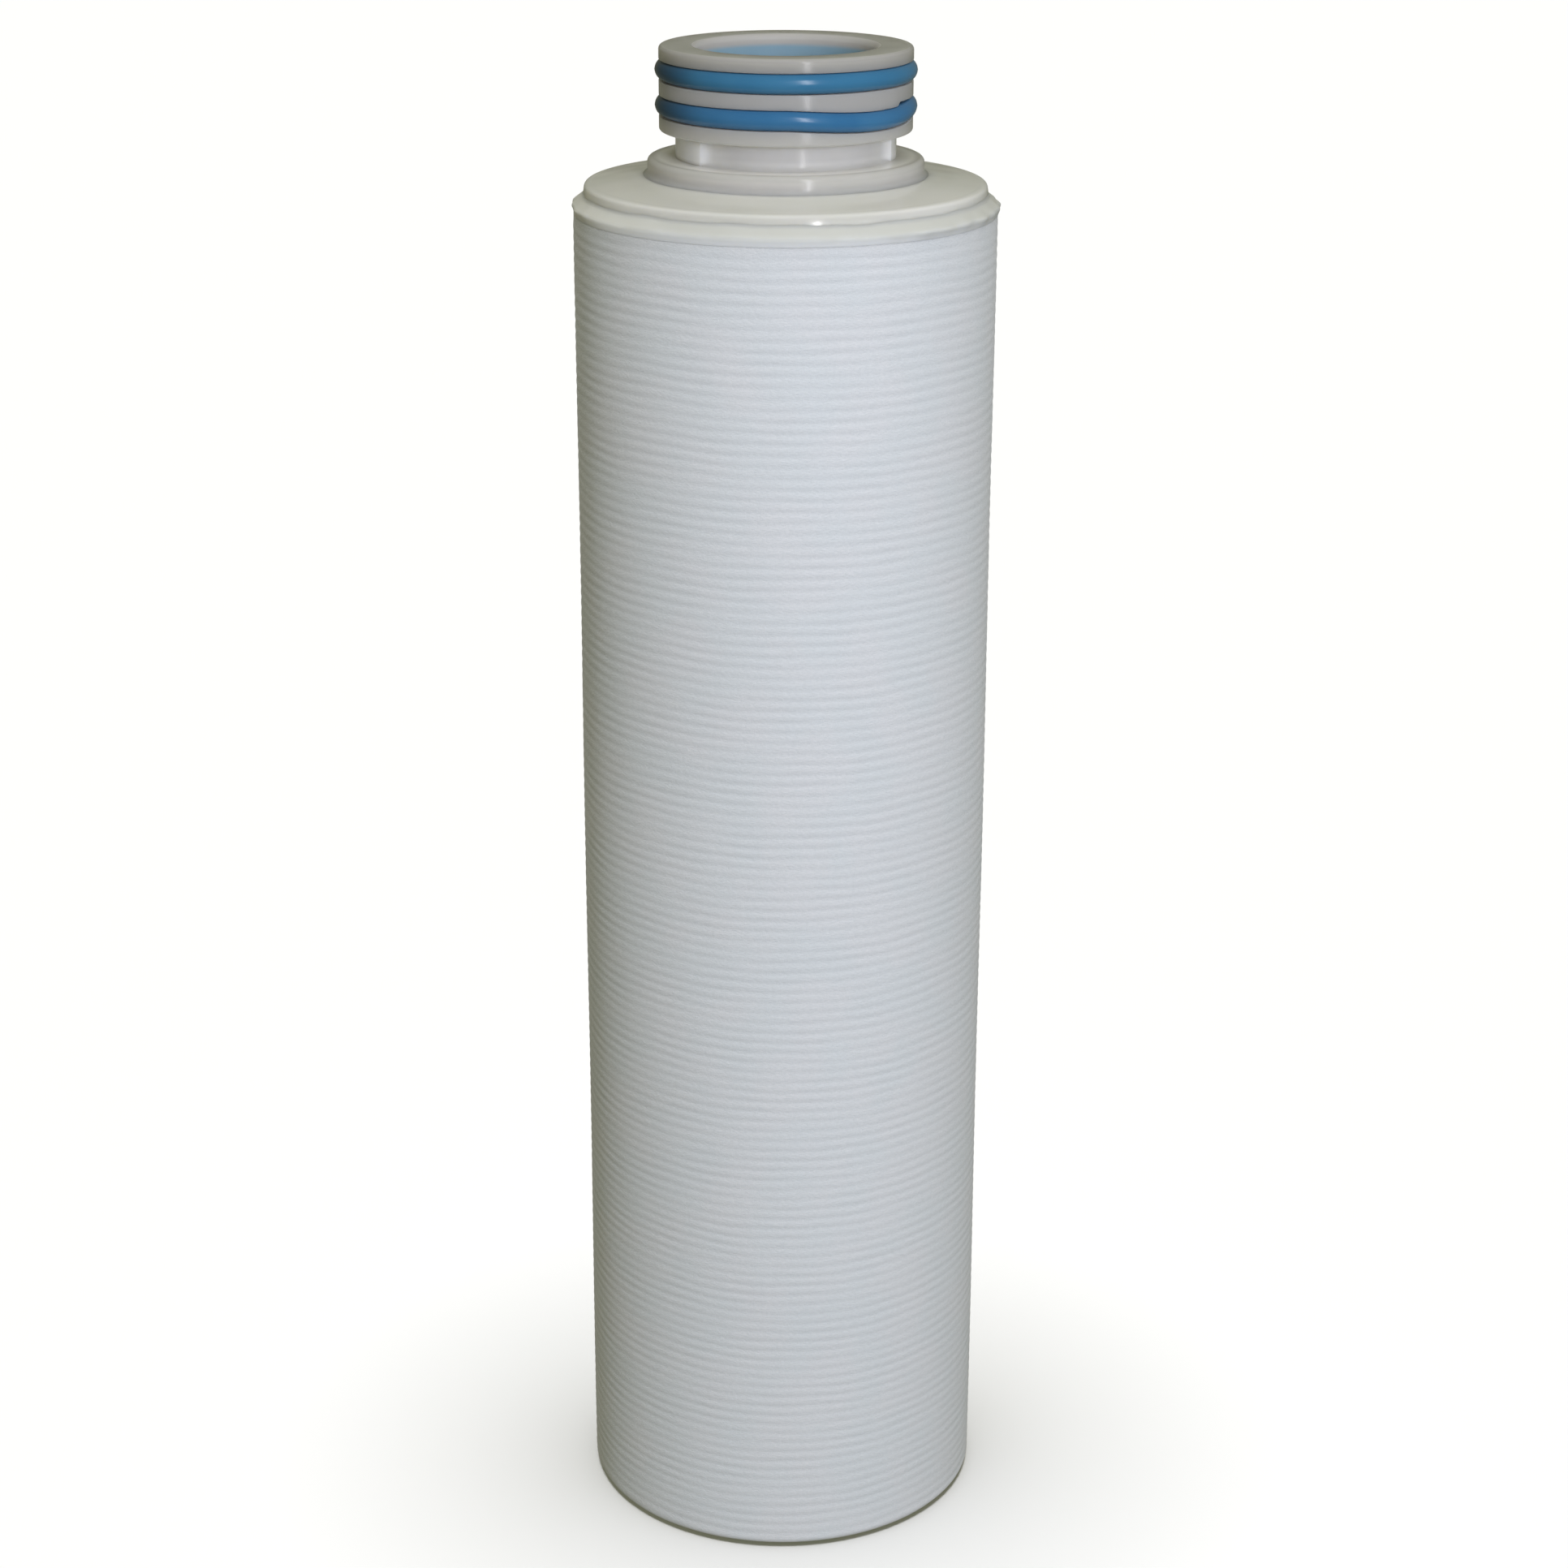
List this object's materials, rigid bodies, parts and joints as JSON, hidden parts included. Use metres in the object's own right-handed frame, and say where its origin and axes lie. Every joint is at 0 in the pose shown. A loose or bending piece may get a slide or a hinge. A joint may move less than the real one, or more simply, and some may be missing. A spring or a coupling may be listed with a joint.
{
  "type": "filter cartridge",
  "caption": "Cylindrical depth filter cartridge: ringed white media on a hollow core, a closed flat bottom cap, and a top cap with a double O-ring nozzle.",
  "frame": {"origin": "centre of the underside, where the cartridge stands on its closed end", "axes": "+Z along the cartridge's axis, towards the nozzle; +X and +Y across it, with the middle of one neck lobe 10.4 degrees past +X towards +Y"},
  "size_m": [0.075, 0.075, 0.2745],
  "materials": {
    "nozzle_plastic": "natural translucent polypropylene, satin moulded",
    "cap_plastic": "natural polypropylene, satin moulded, slightly cream",
    "bond_plastic": "fused polypropylene melt, uneven and satin",
    "seal_rubber": "blue silicone, satin",
    "filter_media": "thermally bonded polypropylene fibre, fine rings, matt",
    "flow_net": "extruded polypropylene netting",
    "core_wrap_sheet": "spunbond polypropylene sheet",
    "core_plastic": "moulded polypropylene"
  },
  "bodies": {
    "root": {"nozzle_adapter": "nozzle_plastic", "upper_o_ring": "seal_rubber", "lower_o_ring": "seal_rubber", "top_end_cap": "cap_plastic", "top_bond_bead": "bond_plastic", "outer_media_sleeve": "filter_media", "middle_media_layer": "filter_media", "inner_media_layer": "filter_media", "outer_flow_net": "flow_net", "inner_flow_net": "flow_net", "core_wrap": "core_wrap_sheet", "core_tube": "core_plastic", "bottom_end_cap": "cap_plastic"}
  },
  "joints": []
}
